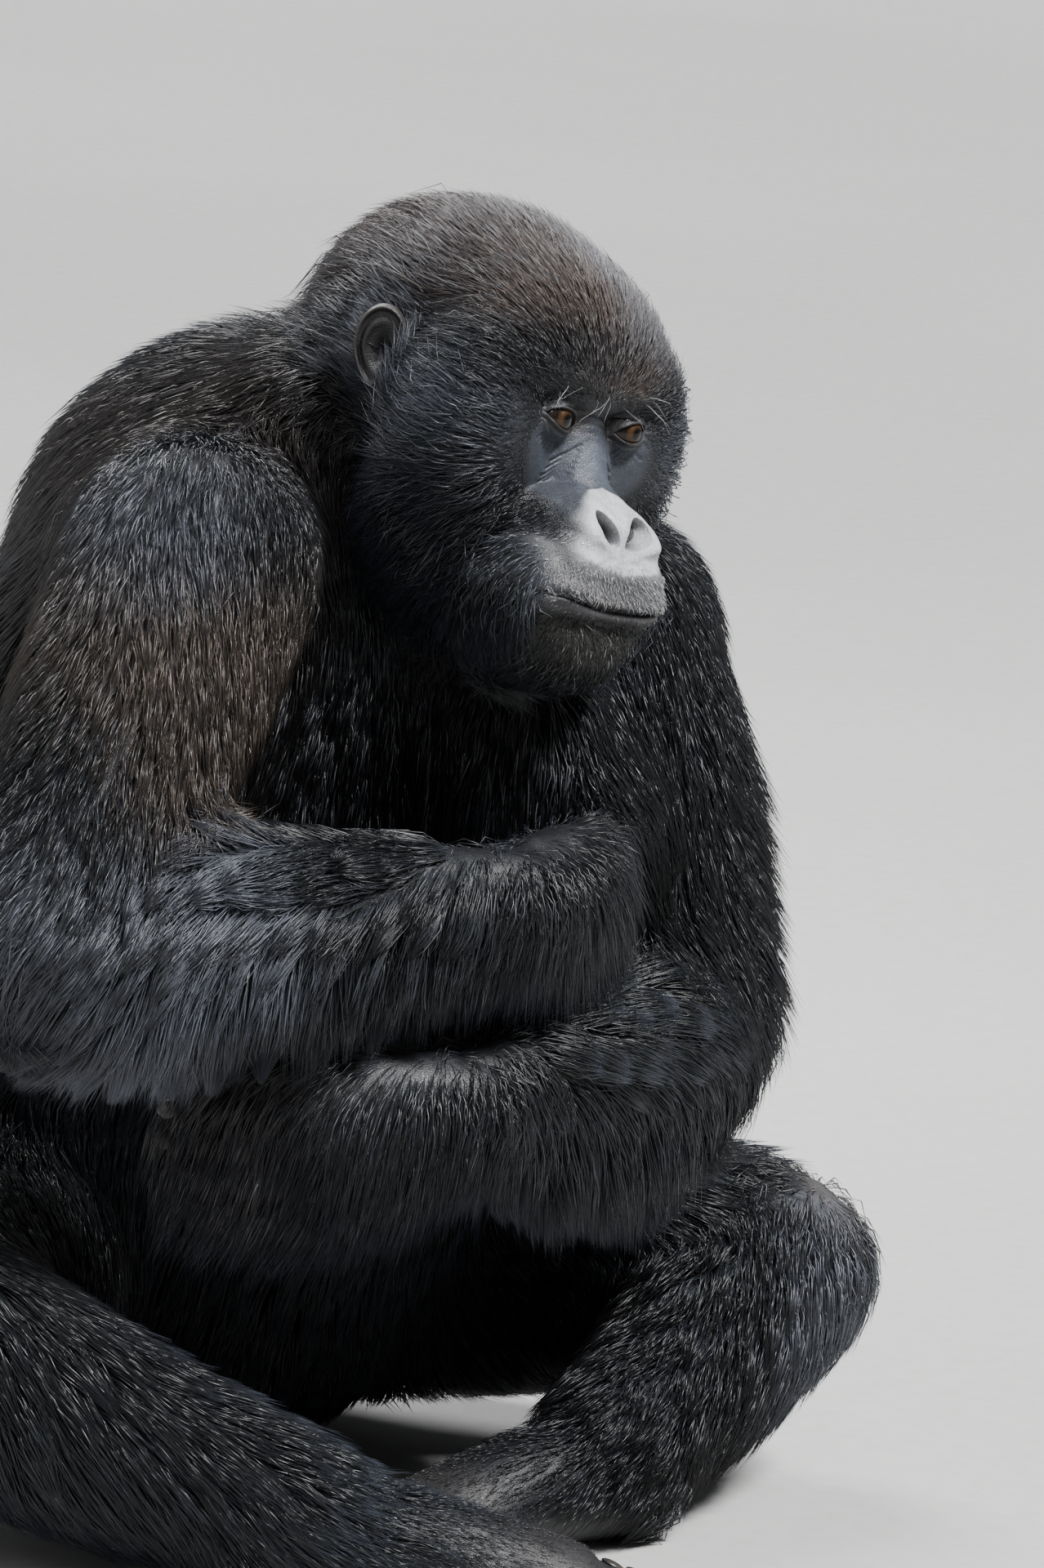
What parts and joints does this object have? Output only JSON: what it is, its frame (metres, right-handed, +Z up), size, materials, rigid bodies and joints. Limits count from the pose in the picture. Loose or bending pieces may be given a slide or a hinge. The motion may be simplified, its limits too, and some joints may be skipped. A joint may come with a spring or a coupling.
{
  "type": "gorilla model",
  "caption": "Life-size still model of a mountain gorilla that sits with folded arms and looks to its left.",
  "frame": {"origin": "on the floor under the middle of the seated animal's box", "axes": "+Z up, the chest faces -Y, and the animal's left side is +X"},
  "size_m": [0.807, 0.682, 0.799],
  "materials": {
    "coat": "long black hair, browner on the crown and upper arms",
    "bare_skin": "dark slate skin with a soft shine",
    "eye": "wet amber-brown eye"
  },
  "bodies": {
    "root": {"head": "coat", "ear_left": "bare_skin", "ear_right": "bare_skin", "eye_left": "eye", "eye_right": "eye", "neck": "coat", "chest": "coat", "belly": "coat", "upper_arm_left": "coat", "upper_arm_right": "coat", "forearm_left": "coat", "forearm_right": "coat", "hand_left": "bare_skin", "hand_right": "bare_skin", "thigh_left": "coat", "thigh_right": "coat", "shin_left": "coat", "shin_right": "coat", "foot_left": "bare_skin", "foot_right": "bare_skin"}
  },
  "joints": []
}
